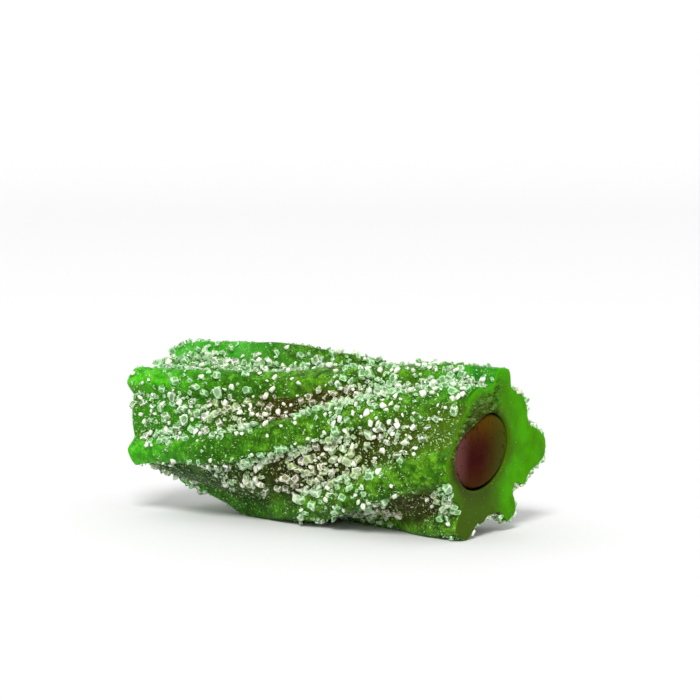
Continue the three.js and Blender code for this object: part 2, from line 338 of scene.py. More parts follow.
def add_mesh(name, points, faces, marks=None, finish_index=None, smooth_shaded=True):
    """A mesh object from points in millimetres; marks are values kept at its points for its materials."""
    mesh = bpy.data.meshes.new(name)
    points = np.asarray(points, np.float32) * MM
    faces = np.asarray(faces, np.int32)
    corners = faces.shape[1]
    mesh.vertices.add(len(points))
    mesh.vertices.foreach_set("co", points.ravel())
    mesh.loops.add(faces.size)
    mesh.loops.foreach_set("vertex_index", faces.ravel())
    mesh.polygons.add(len(faces))
    mesh.polygons.foreach_set("loop_start", np.arange(0, faces.size, corners, dtype=np.int32))
    mesh.polygons.foreach_set("use_smooth", np.full(len(faces), smooth_shaded))
    if finish_index is not None:
        mesh.polygons.foreach_set("material_index", np.asarray(finish_index, np.int32))
    for mark, values in (marks or {}).items():
        layer = mesh.attributes.new(mark, "FLOAT", "POINT")
        layer.data.foreach_set("value", np.asarray(values, np.float32))
    mesh.update(calc_edges=True)
    piece = bpy.data.objects.new(name, mesh)
    bpy.context.scene.collection.objects.link(piece)
    return piece


def ring_faces(rings, sides, closed):
    """Four-sided faces between rings of points; closed joins the last ring to the first."""
    steps = np.arange(rings if closed else rings - 1)[:, None]
    here = np.arange(sides)[None, :]
    there = (here + 1) % sides
    onward = (steps + 1) % rings
    quads = [steps * sides + here, steps * sides + there, onward * sides + there, onward * sides + here]
    return np.stack(quads, -1).reshape(-1, 4)


def fill_holes(piece, reach=math.inf):
    """Closes the holes within a reach of the middle, in millimetres, and turns all faces outward."""
    mesh = bmesh.new()
    mesh.from_mesh(piece.data)
    rims = [e for e in mesh.edges if e.is_boundary and max(v.co.length for v in e.verts) < reach * MM]
    bmesh.ops.holes_fill(mesh, edges=rims)
    bmesh.ops.recalc_face_normals(mesh, faces=mesh.faces)
    mesh.to_mesh(piece.data)
    mesh.free()


# Where sugar lies in a thick crust: along which side of which rib, from which station to which and how
# thickly
CRUSTS = [
    {"rib": 0, "side": -1, "stations": (0.0, 1.0), "more": 0.7},
    {"rib": 0, "side": 1, "stations": (0.45, 1.02), "more": 1.0},
    {"rib": 1, "side": -1, "stations": (0.0, 0.99), "more": 1.3},
    {"rib": 1, "side": 1, "stations": (0.28, 0.74), "more": 1.2},
    {"rib": 2, "side": -1, "stations": (0.36, 0.86), "more": 1.3},
    {"rib": 2, "side": 1, "stations": (0.7, 1.02), "more": 0.9},
    {"rib": 3, "side": -1, "stations": (0.0, 1.0), "more": 0.7},
    {"rib": 3, "side": 1, "stations": (0.2, 0.9), "more": 0.8},
    {"rib": 4, "side": 1, "stations": (0.0, 0.9), "more": 0.8},
    {"rib": 5, "side": -1, "stations": (0.1, 1.04), "more": 0.9},
    {"rib": 5, "side": 1, "stations": (0.8, 1.04), "more": 1.0},
    {"rib": 6, "side": -1, "stations": (0.0, 0.8), "more": 0.8},
    {"rib": 6, "side": 1, "stations": (0.05, 0.6), "more": 1.0},
]

# A spot where there is more of something, or less where more is below 0. Its reach is in millimetres
Spot = namedtuple("Spot", "station degrees reach more")

# Where the dark filling shows through a valley. On the sides that no photograph shows, it shows evenly in
# every valley
BROWN_SPOTS = [
    Spot(0.3, 146, 3.2, 0.7),
    Spot(0.44, 144, 3.8, 1.0),
    Spot(0.57, 133, 3.5, 1.0),
    Spot(0.36, 212, 2.8, 0.55),
    Spot(0.48, 197, 3.2, 1.0),
    Spot(0.58, 188, 3.4, 1.0),
    Spot(0.68, 203, 2.2, 0.9),
    Spot(0.71, 178, 3.0, 0.8),
    Spot(0.82, 166, 3.0, 0.4),
    Spot(0.87, 222, 3.2, 1.0),
    Spot(0.76, 236, 3.0, 0.9),
]

# The side that the photograph shows, in degrees: its middle, how far it reaches and over how much it fades
SEEN_ANGLE, SEEN_END, SEEN_FADE = 175, 110, 50
UNSEEN_BROWN = 0.55

# The clusters of frosted white grains
WHITE_CLUSTERS = [
    Spot(0.8, 114, 2.2, 0.6),
    Spot(0.88, 112, 2.4, 1.2),
    Spot(0.94, 122, 2.0, 1.2),
    Spot(0.98, 98, 1.8, 0.3),
    Spot(0.3, 208, 2.2, 0.3),
    Spot(0.5, 160, 2.2, 0.3),
    Spot(0.5, 224, 2.2, 0.35),
    Spot(0.76, 147, 2.6, 0.4),
]

# The clusters of other sugar, and the bare spots
PATCHES = [
    Spot(0.86, 110, 3.2, 0.4),
    Spot(0.67, 118, 2.4, 0.8),
    Spot(0.24, 156, 2.6, 0.5),
    Spot(0.31, 207, 2.5, 0.5),
    Spot(0.42, 222, 2.4, -0.6),
    Spot(0.51, 194, 2.6, 0.7),
    Spot(0.65, 190, 2.2, 0.8),
    Spot(0.55, 226, 2.4, 0.6),
    Spot(0.95, 236, 1.8, 0.6),
    Spot(0.85, 226, 3.2, -1.2),
    Spot(0.98, 335, 1.6, 0.8),
    Spot(1.0, 346, 1.2, 1.0),
    Spot(1.0, 14, 1.6, 1.0),
    Spot(1.0, 52, 1.8, 0.8),
    Spot(1.0, 74, 1.4, 0.6),
    Spot(0.14, 236, 3.6, -1.2),
    Spot(0.27, 242, 3.2, -1.1),
    Spot(0.38, 250, 2.2, -0.8),
    Spot(0.44, 170, 2.0, -0.4),
    Spot(0.5, 140, 2.6, -0.45),
    Spot(0.98, 208, 2.0, 0.9),
    Spot(0.62, 160, 2.4, 0.4),
    Spot(0.7, 151, 2.6, 1.1),
    Spot(0.8, 144, 3.0, 1.2),
    Spot(0.93, 165, 2.6, -0.4),
    Spot(1.0, 160, 2.4, -1.2),
    Spot(1.0, 182, 2.0, -1.0),
    Spot(0.82, 197, 2.2, 0.3),
    Spot(0.94, 194, 1.7, -1.4),
    Spot(0.03, 208, 2.2, -0.9),
    Spot(0.01, 175, 1.6, -0.7),
    Spot(0.02, 114, 2.6, 1.2),
]

# Where a patch and a brown spot end, as a share of their reach, and the fade of a crust's ends
PATCH_EDGE, BROWN_EDGE, CRUST_FADE = 1.3, 1.45, 0.06

# How likely each kind of sugar is at a place
MILKY_LOOSE, MILKY_NEAR_START, MILKY_IN_VALLEY = 0.07, 0.12, 0.16
MILKY_IN_CRUST, MILKY_IN_CLUSTER, PILES_FROM = 0.75, 0.5, 0.6
CLEAR_SUGAR, CLEAR_OVER_BROWN = 0.22, 0.3
WHITE_ON_CREST, WHITE_OFF_CREST = 0.05, 0.11
DUST_ON_CREST, DUST_NEAR_START, DUST_NEAR_FRONT = 0.2, 0.12, 0.4
RIM_SUGAR_ANGLE, RIM_SUGAR_END, RIM_SUGAR_FADE, RIM_SUGAR_DEPTH = 0, 80, 50, 0.03

# A crystal: its half size, how square its edges are, how its sides wave, its chips, its lean, how pale it
# may be, and its frosted edges, which are less clear
CRYSTAL_HALF = 0.55
EDGE_SHARPNESS, SIDE_WAVES, SKEW = (2.3, 4.2), (0.86, 1.08), 0.22
CHIPS, CHIP_DEPTH = 4, (0.62, 0.85)
MOSTLY_SMALL = 1.8
LEAN = 0.5
FROST_START, FROST_FADE, FROST = 0.45, 0.5, (0.75, 1.0)
PALE, PALER_IN_CRUST = 0.7, 0.5
FROST_CLEARNESS = 0.25

# How places for crystals are drawn
DRAWS, DRAWN_AT_ONCE = 60, 4000
END_MARGIN = 0.004
NEIGHBOURS = np.array(list(np.ndindex(3, 3, 3))) - 1


def off_crest(angle, s, start, reach):
    """0 nearer to a crest than start and 1 past start and reach together, in rib half widths."""
    return smooth((nearest_crest(angle, s) - start) / reach)


def within(spot, angle, s, edge):
    """1 in the middle of a spot, and 0 from edge times its reach on."""
    distance = np.hypot(apart(angle, spot.degrees) * BODY_RADIUS, (s - spot.station) * LENGTH)
    return smooth(edge - distance / spot.reach)


def crust_sugar(angle, s):
    """How thick the crust along the ribs' sides is, 0 where there is none."""
    total = np.zeros(np.shape(s))
    for crust in CRUSTS:
        first, last = crust["stations"]
        inside = smooth((s - first) / CRUST_FADE) * smooth((last - s) / CRUST_FADE)
        off_edge = crust["side"] * past_crest(RIBS[crust["rib"]], angle, s) - RIB_EDGE
        total = np.maximum(total, crust["more"] * inside * np.exp(-((off_edge / CRUST_WIDTH) ** 2)))
    return total


def patch_sugar(angle, s, patches=PATCHES):
    return sum(patch.more * within(patch, angle, s, PATCH_EDGE) for patch in patches)


def rim_rounding(angle):
    """The radius of a cut's edge: the knife dragged the soft gel round where the wall is thin."""
    soft = smooth(1 - apart(angle, SOFT_RIM_ANGLE) / math.radians(SOFT_RIM_REACH))
    return RIM_ROUNDING + (SOFT_RIM - RIM_ROUNDING) * soft


def rounded_off(distance, radius):
    """How far both sides of an edge give way at a distance from it: most at the edge itself, where a
    rounding takes 0.3 of its radius off each side."""
    return 0.3 * radius * np.clip(1 - distance / radius, 0, 1) ** 2


def tube_grid():
    """The fine outside of the tube, with its slow unevenness and the crust along the ribs' edges."""
    rows = np.linspace(0, 1, TUBE_ROWS)
    angle = np.array([column_angles(s) for s in rows])
    s = np.repeat(rows[:, None], angle.shape[1], axis=1)
    flat = tube_point(angle, s)
    edge = np.exp(-(((nearest_crest(angle, s) - RIB_EDGE) / EDGE_WIDTH) ** 2))
    crust = edge * uneven(flat, CRUSTED_EDGE)
    pitted = off_crest(angle, s, *VALLEY) * uneven(flat, PITTED_VALLEY)
    from_end = np.minimum(s, 1 - s) * LENGTH
    proud = (uneven(flat, SKIN) + crust + pitted) * smooth(from_end / SMOOTH_END)
    return angle, s, tube_point(angle, s, proud - rounded_off(from_end, rim_rounding(angle)))


def cut_rings(station, forward):
    """A knife-cut end, from the tube's edge in to the bore: rings of points and how far in each one is."""
    angle = column_angles(station)
    s = np.full_like(angle, station)
    edge_radius = rim_rounding(angle)
    radius = tube_radius(angle, s) - rounded_off(0, edge_radius)
    outer = np.stack([radius * np.cos(angle), radius * np.sin(angle)], -1)
    inner = np.stack(bore_section(bore_angle(angle, s), s), -1)
    width = np.linalg.norm(outer - inner, axis=-1)
    lip_side = smooth((np.cos(angle - math.radians(LIP_ANGLE)) - LIP_SIDE_START) / LIP_SIDE_FADE)
    depths = np.linspace(0, 1, CUT_RINGS) ** CUT_RING_BUNCHING
    rings = []
    for depth in depths:
        section = outer + (inner - outer) * depth
        points = place(s, section[:, 0], section[:, 1])
        from_edge = depth * width
        from_bore = (1 - depth) * width
        lip = LIP * lip_side * np.exp(-(((from_bore - LIP_FROM_BORE) / LIP_WIDTH) ** 2))
        wave = uneven(points, CUT_WAVES) * smooth(from_edge / CUT_WAVE_FADE)
        worn = WORN_BORE_EDGE * (1 - smooth(from_bore / WORN_BORE_REACH)) ** 2
        inside = smooth((BODY_RADIUS - np.linalg.norm(section, axis=-1)) / CUT_HOLLOW_REACH)
        hollow = CUT_HOLLOW * inside * smooth(from_bore / CUT_HOLLOW_FROM_BORE)
        points[:, 0] += forward * (lip + wave - rounded_off(from_edge, edge_radius) - worn - hollow)
        rings.append(points)
    return rings, depths


def make_shell():
    """The green tube: its outside, the front cut, the bore and the raised end's cut, one closed skin."""
    angle, s, outside = tube_grid()
    columns = angle.shape[1]
    front, front_depth = cut_rings(1.0, 1)
    start, start_depth = cut_rings(0.0, -1)
    outside[-1] = front[0]
    outside[0] = start[0]
    bore_stations = np.linspace(1, 0, BORE_ROWS)[1:-1]
    bore = []
    for station in bore_stations:
        ring_angle = column_angles(station)
        ring_s = np.full_like(ring_angle, station)
        bore.append(bore_point(bore_angle(ring_angle, ring_s), ring_s))
    rings = [*outside, *front[1:], *bore, *start[:0:-1]]
    points = np.concatenate(rings) + SHIFT
    points[:, 2] = np.maximum(points[:, 2], 0)
    crest_end, crest_fade = CREST_END
    ragged = nearest_crest(angle, s) + uneven(outside, RAGGED_CREST)
    crest = 1 - smooth((ragged - crest_end) / crest_fade)
    unmarked = np.zeros((len(rings) - TUBE_ROWS) * columns)
    inner_stations = [*np.ones(len(front) - 1), *bore_stations, *np.zeros(len(start) - 1)]
    inner_depths = [*front_depth[1:], *np.full(len(bore), INSIDE_BORE), *start_depth[:0:-1]]
    marks = {
        "crest": np.concatenate([crest.ravel(), unmarked]),
        "brown": np.concatenate([brownness(angle, s).ravel(), unmarked]),
        "station": np.concatenate([s.ravel(), np.repeat(inner_stations, columns)]),
        "inward": np.concatenate([np.zeros(s.size), np.repeat(inner_depths, columns)]),
    }
    faces = ring_faces(len(rings), columns, closed=True)
    ring_of_face = np.repeat(np.arange(len(rings)), columns)
    is_cut = ring_of_face >= TUBE_ROWS - 1
    return add_mesh("licorice_twist", points, faces, marks, is_cut)


def make_filling():
    """The jelly, snug in the bore, with rounded ends a little behind the cuts and a crevice round them."""
    angle = np.linspace(0, 2 * math.pi, FILLING_SIDES, endpoint=False)
    widths = []
    for crevice in CREVICES:
        facing = np.maximum(0, np.cos(angle - math.radians(crevice["angle"])))
        widths.append(crevice["width"] * facing ** crevice["sharpness"])
    gap = FILLING_RIM_GAP + np.max(widths, axis=0)

    def end_ring(station, forward, share):
        """share is 1 at the rim and 0 at the middle of the end."""
        s = np.full(FILLING_SIDES, station)
        from_rim = (1 - share) * BORE_LONG_RADIUS * slimming(station)
        over_edge = 1 - np.clip(from_rim / FILLING_EDGE, 0, 1)
        fall = FILLING_EDGE * (1 - np.sqrt(1 - over_edge**2))
        ring = bore_point(angle, s, -gap, share)
        wave = uneven(ring, FILLING_WAVES) * (1 - share**8)
        ring[:, 0] += forward * (FILLING_DOME * (1 - share**2) - FILLING_RECESS - fall + wave)
        return ring

    # Close together over the rounded edge, then evenly in to the middle
    edge_shares = 1 - 0.9 * np.linspace(0, 0.12, 12) ** 1.4
    shares = [*edge_shares, *np.linspace(0.9, 0.02, 30)]
    front = [end_ring(1.0, 1, share) for share in shares]
    start = [end_ring(0.0, -1, share) for share in shares]
    stations = np.linspace(FILLING_INSET, 1 - FILLING_INSET, FILLING_ROWS)
    body = [bore_point(angle, np.full(FILLING_SIDES, station), -gap) for station in stations]
    rings = [*start[::-1], *body, *front]
    points = np.concatenate(rings) + SHIFT
    faces = ring_faces(len(rings), FILLING_SIDES, closed=False)
    piece = add_mesh("filling", points, faces)
    fill_holes(piece)
    return piece


def crystal_shape(random, steps):
    """A sugar crystal about 1 across: a block with worn edges and chipped sides of steps by steps faces.
    With it comes how near each point is to an edge, where a crystal is frosted white."""
    shape = bmesh.new()
    bmesh.ops.create_cube(shape, size=2.0)
    bmesh.ops.subdivide_edges(shape, edges=shape.edges, cuts=steps - 1, use_grid_fill=True)
    shape.verts.index_update()
    points = np.array([v.co for v in shape.verts])
    faces = np.array([[v.index for v in f.verts] for f in shape.faces])
    shape.free()
    ranked = np.sort(np.abs(points), axis=1)
    frost = smooth((ranked[:, 1] - FROST_START) / FROST_FADE) * random.uniform(*FROST, len(points))
    wear = random.uniform(*EDGE_SHARPNESS)
    points = points / np.sum(np.abs(points) ** wear, axis=1, keepdims=True) ** (1 / wear)
    points *= random.uniform(*SIDE_WAVES, (len(points), 1))
    for _ in range(CHIPS):
        chip = random.normal(size=3)
        chip /= np.linalg.norm(chip)
        over = np.maximum(points @ chip - random.uniform(*CHIP_DEPTH), 0)
        points -= over[:, None] * chip
    skew = np.eye(3) + random.uniform(-SKEW, SKEW, (3, 3))
    return CRYSTAL_HALF * points @ skew, faces, frost


def sugar_sites(random, density, count, spacing, taken=None):
    """Places for crystals, drawn at random where density asks for them and kept apart."""
    taken = {} if taken is None else taken
    sites = []
    for _ in range(DRAWS):
        s = random.uniform(END_MARGIN, 1 - END_MARGIN, DRAWN_AT_ONCE)
        angle = random.uniform(0, 2 * math.pi, DRAWN_AT_ONCE)
        chance = random.uniform(0, 1, DRAWN_AT_ONCE)
        points = tube_point(angle, s)
        for k in np.nonzero(chance < density(angle, s))[0]:
            if len(sites) >= count:
                return sites
            cell = np.floor(points[k] / spacing).astype(int)
            around = (cell + NEIGHBOURS).tolist()
            near = [other for key in around for other in taken.get(tuple(key), ())]
            if any(np.sum((points[k] - other) ** 2) < spacing**2 for other in near):
                continue
            taken.setdefault(tuple(cell), []).append(points[k])
            sites.append((angle[k], s[k]))
    return sites


def held_up(sites, others, reach):
    """Those of the sites that have another crystal within reach to lie on."""
    points = tube_point(*np.array(sites).T)
    below = tube_point(*np.array(others).T)
    nearest = np.min(np.linalg.norm(points[:, None] - below[None], axis=-1), axis=1)
    return [site for site, distance in zip(sites, nearest) if distance < reach]


def outward(angle, s):
    """The direction straight out of the gel and the direction along the twist, at places on the tube."""
    turn, step = 0.01, 0.001
    onward = tube_point(angle, s + step) - tube_point(angle, s - step)
    round_way = tube_point(angle + turn, s) - tube_point(angle - turn, s)
    normal = np.cross(round_way, onward)
    return [way / np.linalg.norm(way, axis=-1, keepdims=True) for way in (normal, onward)]


def stick_crystals(name, random, sites, shapes, sizes, proud, thickness=(0.6, 0.9), smooth_shaded=False):
    """One piece with a crystal at each site, sunk into the gel and turned at random. Sizes are in
    millimetres, proud and thickness are shares of them. A crystal that would stand out of the box of the
    solids is left out."""
    angle, s = np.array(sites).T
    normal, onward = outward(angle, s)
    points = tube_point(angle, s)
    brown = brownness(angle, s)
    crusted = np.clip(crust_sugar(angle, s) + patch_sugar(angle, s), 0, 1)
    low, high = (np.array(corner) / MM for corner in CAD_BOX)
    all_points, all_faces, marks, used = [], [], {"brown": [], "pale": [], "frost": []}, 0
    for k in range(len(sites)):
        shape, faces, frost = shapes[random.integers(len(shapes))]
        size = sizes[0] + (sizes[1] - sizes[0]) * random.uniform() ** MOSTLY_SMALL
        stretch = np.array([1.0, random.uniform(*thickness), random.uniform(*thickness)])
        spin = random.uniform(0, 2 * math.pi)
        lean = random.normal(0, LEAN, 2)
        side = np.cross(normal[k], onward[k])
        first = onward[k] * math.cos(spin) + side * math.sin(spin) + normal[k] * lean[0]
        first /= np.linalg.norm(first)
        second = np.cross(normal[k] + side * lean[1], first)
        second /= np.linalg.norm(second)
        third = np.cross(first, second)
        turned = (shape * stretch * size) @ np.stack([first, second, third])
        height = random.uniform(*proud) * size
        pale = random.uniform() * (PALE + PALER_IN_CRUST * crusted[k])
        crystal = turned + points[k] + normal[k] * height + SHIFT
        if (crystal < low).any() or (crystal > high).any():
            continue
        all_points.append(crystal)
        all_faces.append(faces + used)
        marks["brown"].append(np.full(len(crystal), brown[k]))
        marks["pale"].append(np.full(len(crystal), pale))
        marks["frost"].append(frost)
        used += len(crystal)
    points, faces = np.concatenate(all_points), np.concatenate(all_faces)
    marks = {mark: np.concatenate(values) for mark, values in marks.items()}
    return add_mesh(name, points, faces, marks, smooth_shaded=smooth_shaded)


def brownness(angle, s):
    """How much of the dark filling shows through the gel: most where a valley's gel is thinnest."""
    start, fade = BROWN_START
    ragged = nearest_crest(angle, s) + uneven(tube_point(angle, s), RAGGED_BROWN)
    seen_side = smooth((SEEN_END - np.degrees(apart(angle, SEEN_ANGLE))) / SEEN_FADE)
    total = UNSEEN_BROWN * (1 - seen_side)
    for spot in BROWN_SPOTS:
        total = np.maximum(total, spot.more * within(spot, angle, s, BROWN_EDGE))
    return smooth((ragged - start) / fade) * total


def clumped(angle, s, seed):
    """Sugar sticks in clumps: about 1 in them and about 0 between them."""
    return 0.5 + uneven(tube_point(angle, s), [(0.9, 2.2, seed), (0.45, 1.0, seed + 1)])


def milky_sugar_at(angle, s):
    """How likely a milky crystal is: in the crusts and clusters, and here and there elsewhere."""
    valley = off_crest(angle, s, *VALLEY)
    clumps = clumped(angle, s, seed=21)
    crust = crust_sugar(angle, s)
    patch = patch_sugar(angle, s)
    brown = brownness(angle, s)
    off_brown = 1 - 0.4 * brown
    not_bare = np.clip(1 + patch, 0, 1)
    loose = MILKY_LOOSE + MILKY_NEAR_START * near_start(s, 0.45) + MILKY_IN_VALLEY * valley
    loose = loose * np.clip(clumps, 0.02, 1.2) * (1 - 0.75 * brown)
    crusted = MILKY_IN_CRUST * crust * np.clip(clumps + 0.3, 0.1, 1.2) * off_brown
    gaps = np.where(patch > 0, np.clip(clumps + 0.3, 0, 1), 1)
    clustered = MILKY_IN_CLUSTER * patch * (0.6 + valley + crust) * gaps * off_brown
    return (loose + crusted) * not_bare + clustered


def clear_sugar_at(angle, s):
    """Clear crystals lie in the valleys, above all where the filling shows through."""
    clumps = np.clip(clumped(angle, s, seed=41), 0.02, 1.1)
    not_bare = np.clip(1 + patch_sugar(angle, s), 0, 1)
    share = CLEAR_SUGAR + CLEAR_OVER_BROWN * brownness(angle, s)
    return off_crest(angle, s, 0.9, 0.5) * clumps * share * not_bare


def rim_sugar_at(angle, s):
    """Crystals that stand out past the edge of the front cut, on its far side."""
    far_side = smooth((RIM_SUGAR_END - np.degrees(apart(angle, RIM_SUGAR_ANGLE))) / RIM_SUGAR_FADE)
    return far_side * near_front(s, RIM_SUGAR_DEPTH) * np.clip(clumped(angle, s, seed=51) + 0.2, 0, 1)


def piled_sugar_at(angle, s):
    """Where crystals may lie on other crystals: only where milky ones are thick."""
    return milky_sugar_at(angle, s) - PILES_FROM


def white_clusters_at(angle, s):
    return patch_sugar(angle, s, WHITE_CLUSTERS)


def white_sugar_at(angle, s):
    """Single frosted grains lie everywhere, but thinner on the ribs and in the bare spots."""
    share = WHITE_ON_CREST + WHITE_OFF_CREST * off_crest(angle, s, 0.3, 0.7)
    return share * np.clip(1 + patch_sugar(angle, s), 0, 1.5)


def fine_sugar_at(angle, s):
    """Sugar dust, thinner on the crests but less so towards the ends."""
    clumps = np.clip(0.6 + uneven(tube_point(angle, s), [(0.7, 1.6, 22)]), 0.1, 1)
    on_crest = DUST_ON_CREST + DUST_NEAR_START * near_start(s, 0.5) + DUST_NEAR_FRONT * near_front(s, 0.4)
    share = on_crest + (1 - on_crest) * off_crest(angle, s, 0.4, 0.6)
    return share * clumps + 0.3 * patch_sugar(angle, s)


def make_sugar():
    random = np.random.default_rng(SEED)
    large_shapes = [crystal_shape(random, steps=4) for _ in range(16)]
    medium_shapes = [crystal_shape(random, steps=3) for _ in range(16)]
    fine_shapes = [crystal_shape(random, steps=1) for _ in range(12)]
    coarse = sugar_sites(random, milky_sugar_at, count=300, spacing=0.95)
    milky = sugar_sites(random, milky_sugar_at, count=1050, spacing=0.55)
    clear = sugar_sites(random, clear_sugar_at, count=400, spacing=0.8)
    piled = sugar_sites(random, piled_sugar_at, count=380, spacing=0.6)
    piled = held_up(piled, coarse + milky, reach=0.4)
    taken = {}
    white = sugar_sites(random, white_clusters_at, count=110, spacing=0.45, taken=taken)
    white += sugar_sites(random, white_sugar_at, count=830, spacing=0.45, taken=taken)
    milky += sugar_sites(random, rim_sugar_at, count=46, spacing=0.45)
    white += sugar_sites(random, rim_sugar_at, count=30, spacing=0.4)
    fine = sugar_sites(random, fine_sugar_at, count=10500, spacing=0.18)
    frosted = {"smooth_shaded": True}
    dust = {"thickness": (0.15, 0.6), "smooth_shaded": True}
    return [
        stick_crystals("sugar_coarse", random, coarse, large_shapes, (0.55, 0.9), (0.05, 0.3)),
        stick_crystals("sugar_milky", random, milky, medium_shapes, (0.35, 0.8), (0.05, 0.45)),
        stick_crystals("sugar_clear", random, clear, large_shapes, (0.42, 0.9), (0.1, 0.4)),
        stick_crystals("sugar_piled", random, piled, medium_shapes, (0.35, 0.75), (0.4, 0.7)),
        stick_crystals("sugar_white", random, white, medium_shapes, (0.28, 0.66), (0.15, 0.5), **frosted),
        stick_crystals("sugar_fine", random, fine, fine_shapes, (0.06, 0.36), (0.05, 0.35), **dust),
    ]


def linear(colour):
    """An sRGB hex colour as the linear values that the shaders take."""
    parts = [int(colour[i:i + 2], 16) / 255 for i in (1, 3, 5)]
    return (*(p / 12.92 if p <= 0.04045 else ((p + 0.055) / 1.055) ** 2.4 for p in parts), 1.0)


def per_metre(millimetres):
    """The texture scale whose features are that many millimetres across."""
    return 1 / (millimetres * MM)


def add_node(tree, kind, inputs=None, **settings):
    """A node with its settings. Each input is a socket to link, an sRGB hex colour or another value."""
    node = tree.nodes.new(kind)
    for key, value in settings.items():
        setattr(node, key, value)
    for key, value in (inputs or {}).items():
        if isinstance(value, bpy.types.NodeSocket):
            tree.links.new(value, node.inputs[key])
        else:
            node.inputs[key].default_value = linear(value) if isinstance(value, str) else value
    return node


def new_finish(name):
    """An empty material and its node tree."""
    finish = bpy.data.materials.new(name)
    finish.use_nodes = True
    finish.node_tree.nodes.clear()
    return finish, finish.node_tree


def measured(tree, marks, grains):
    """What coats of colour go by: a point's place in metres, the marks of its mesh and noise. Each noise is
    the size of its grain in millimetres, its detail and its roughness."""
    place_at = add_node(tree, "ShaderNodeTexCoord").outputs["Object"]
    axes = add_node(tree, "ShaderNodeSeparateXYZ", {"Vector": place_at}).outputs
    values = {"place": place_at, "across": axes["Y"], "height": axes["Z"]}
    for mark in marks:
        values[mark] = add_node(tree, "ShaderNodeAttribute", attribute_name=mark).outputs["Fac"]
    for name, (size, detail, roughness) in grains.items():
        noise = {"Vector": place_at, "Scale": per_metre(size), "Detail": detail, "Roughness": roughness}
        values[name] = add_node(tree, "ShaderNodeTexNoise", noise).outputs["Fac"]
    return values


# The mix node keeps its colour sockets at these places
MIX_UNDER, MIX_OVER, MIX_COLOUR = 6, 7, 2


def painted(tree, values, under, *coats):
    """A colour with coats over it, the last one on top. A coat is its colour and what it goes by: the name
    of a value from 0 to 1, or a name with the two numbers where the coat sets in and where it is full. If
    it goes by several, they are multiplied."""
    for colour, *limits in coats:
        shares = []
        for limit in limits:
            if isinstance(limit, str):
                shares.append(values[limit])
                continue
            name, start, full = limit
            ramp = {"Value": values[name], "From Min": start, "From Max": full}
            node = add_node(tree, "ShaderNodeMapRange", ramp, interpolation_type="SMOOTHSTEP")
            shares.append(node.outputs["Result"])
        share = shares[0]
        for other in shares[1:]:
            node = add_node(tree, "ShaderNodeMath", {0: share, 1: other}, operation="MULTIPLY")
            share = node.outputs["Value"]
        mix = {0: share, MIX_UNDER: under, MIX_OVER: colour}
        under = add_node(tree, "ShaderNodeMix", mix, data_type="RGBA").outputs[MIX_COLOUR]
    return under


def add_shader(tree, look, bumps=None, strength=0.0, depth=0.0):
    """The last nodes of a material: its shader with that look, and bumps of a depth in millimetres."""
    if bumps is not None:
        bump = {"Height": bumps, "Strength": strength, "Distance": depth * MM}
        look = {**look, "Normal": add_node(tree, "ShaderNodeBump", bump).outputs["Normal"]}
    shader = add_node(tree, "ShaderNodeBsdfPrincipled", look)
    add_node(tree, "ShaderNodeOutputMaterial", {"Surface": shader.outputs["BSDF"]})


# How light goes through the gel: its green goes farthest
GEL_LIGHT = {"IOR": 1.47, "Subsurface Radius": (0.3, 1.0, 0.12), "Subsurface Scale": 0.8 * MM}


def green_gel():
    """Starch gel, extruded: translucent, so its thick ribs glow green and its thin valleys show the dark
    filling;
    the skin is smooth and softly shiny where the sugar has rubbed off. Painted into its colour are the glow
    of the raised end, light on the tops of the ribs and shade low in the valleys."""
    finish, tree = new_finish("green_starch_gel")
    grains = {
        "mottle": (2.4, 3.0, 0.55),
        "fine_mottle": (0.6, 3.0, 0.55),
        "blotch": (0.8, 5.0, 0.65),
        "dust": (0.2, 3.0, 0.65),
        "grit": (0.22, 4.0, 0.7),
    }
    values = measured(tree, ("crest", "station", "brown"), grains)
    # Painted light: the ridges, their dark blotches and their pale haze are a brighter green towards the
    # raised end, where light shines through the gel
    painted_end_glow = ("station", 0.3, 0.0)
    dark = painted(tree, values, "#2b2002", ("#2e3a06", ("fine_mottle", 0.35, 0.65)))
    valley = painted(
        tree, values, "#2e7a06",
        # Painted shade: the valleys darken towards the bottom of the twist
        ("#173a05", ("height", 8.0 * MM, 5.0 * MM)),
        ("#3e5a08", ("station", 0.35, 0.75)),
        ("#3e6e08", ("mottle", 0.45, 0.75)),
        (dark, "brown"),
    )
    cool_ridge = painted(tree, values, "#205c04", ("#387e08", ("mottle", 0.3, 0.7)))
    warm_ridge = painted(tree, values, "#38720a", ("#5e9a14", ("mottle", 0.3, 0.7)))
    ridge_shade = painted(tree, values, "#224c02", ("#2c8408", painted_end_glow))
    ridge_haze = painted(tree, values, "#5f9e20", ("#50ac26", painted_end_glow))
    ridge = painted(
        tree, values, cool_ridge,
        (warm_ridge, ("station", 0.3, 0.55)),
        ("#4cbe18", painted_end_glow),
        (ridge_shade, ("blotch", 0.62, 0.36)),
        (ridge_haze, ("blotch", 0.54, 0.7)),
    )
    # Painted light on the tops of the ribs near the front cut
    painted_top_light_front = painted(tree, values, "#187006", ("#36980c", ("mottle", 0.35, 0.6)))
    # Painted light on the tops of the ribs at the raised end, paler and bluer
    painted_top_light_end = painted(tree, values, "#2c8a16", ("#48aa34", ("mottle", 0.35, 0.6)))
    dust = painted(tree, values, "#88ac50", ("#828648", "brown"))
    colour = painted(
        tree, values, valley,
        (ridge, "crest"),
        (painted_top_light_front, ("height", 11.5 * MM, 14.0 * MM), ("station", 0.72, 0.95)),
        (painted_top_light_end, ("height", 12.4 * MM, 14.8 * MM), ("station", 0.4, 0.1)),
        (dust, ("dust", 0.54, 0.66), ("crest", 2.0, 0.3), ("fine_mottle", 0.4, 0.58)),
    )
    look = {
        "Base Color": colour,
        "Roughness": 0.3,
        "Specular IOR Level": 0.07,
        "Subsurface Weight": 0.35,
        **GEL_LIGHT,
    }
    add_shader(tree, look, values["grit"], strength=0.8, depth=0.06)
    return finish


